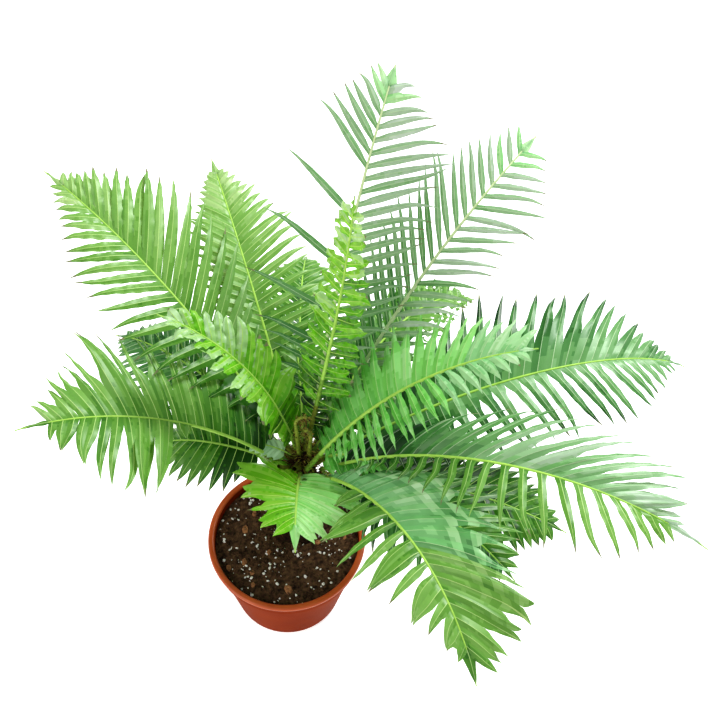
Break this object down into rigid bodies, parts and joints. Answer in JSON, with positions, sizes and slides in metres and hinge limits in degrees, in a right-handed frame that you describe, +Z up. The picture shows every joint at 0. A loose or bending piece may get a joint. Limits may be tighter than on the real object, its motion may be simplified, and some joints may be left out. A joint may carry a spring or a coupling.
{
  "type": "potted tree fern",
  "caption": "Dwarf tree fern in a plastic nursery pot: a short trunk, coiled young fronds and a wide crown of arching fronds with two rows of leaflets.",
  "frame": {"origin": "centre of the pot's flat underside", "axes": "+Z up, +X to the right and +Y away from the viewer of the picture"},
  "size_m": [0.6617, 0.507, 0.5823],
  "materials": {
    "pot": "moulded terracotta-coloured plastic with a soft sheen",
    "soil": "moist dark peat mix with white perlite grains and bark chips",
    "trunk": "fibrous dark brown trunk with old frond bases",
    "coil": "young stalks with brown scales",
    "leaf": "green leaf, slightly glossy, with a pale midrib",
    "young_leaf": "fresh yellow-green leaf",
    "blue_leaf": "blue-green leaf with a waxy bloom",
    "old_leaf": "dark green older leaf"
  },
  "bodies": {
    "root": {"pot": "pot", "soil": "soil", "trunk": "trunk", "young_coil_left": "coil", "young_coil_right": "coil", "frond_front_short": "young_leaf", "frond_left_low": "leaf", "frond_left_high": "leaf", "frond_back_left": "leaf", "frond_right_front": "young_leaf", "frond_top": "blue_leaf", "frond_right_high": "blue_leaf", "frond_right_far": "old_leaf", "frond_right_low": "blue_leaf", "frond_bottom": "leaf", "frond_upright_young": "young_leaf", "frond_left_young": "young_leaf", "frond_under_right": "old_leaf", "frond_back_right": "leaf", "frond_under_left": "old_leaf", "frond_back": "old_leaf", "frond_low_left_short": "old_leaf", "frond_low_right": "old_leaf", "frond_inner_front_left": "blue_leaf", "frond_inner_front_right": "young_leaf", "frond_inner_right": "old_leaf", "frond_inner_back": "old_leaf"}
  },
  "joints": []
}
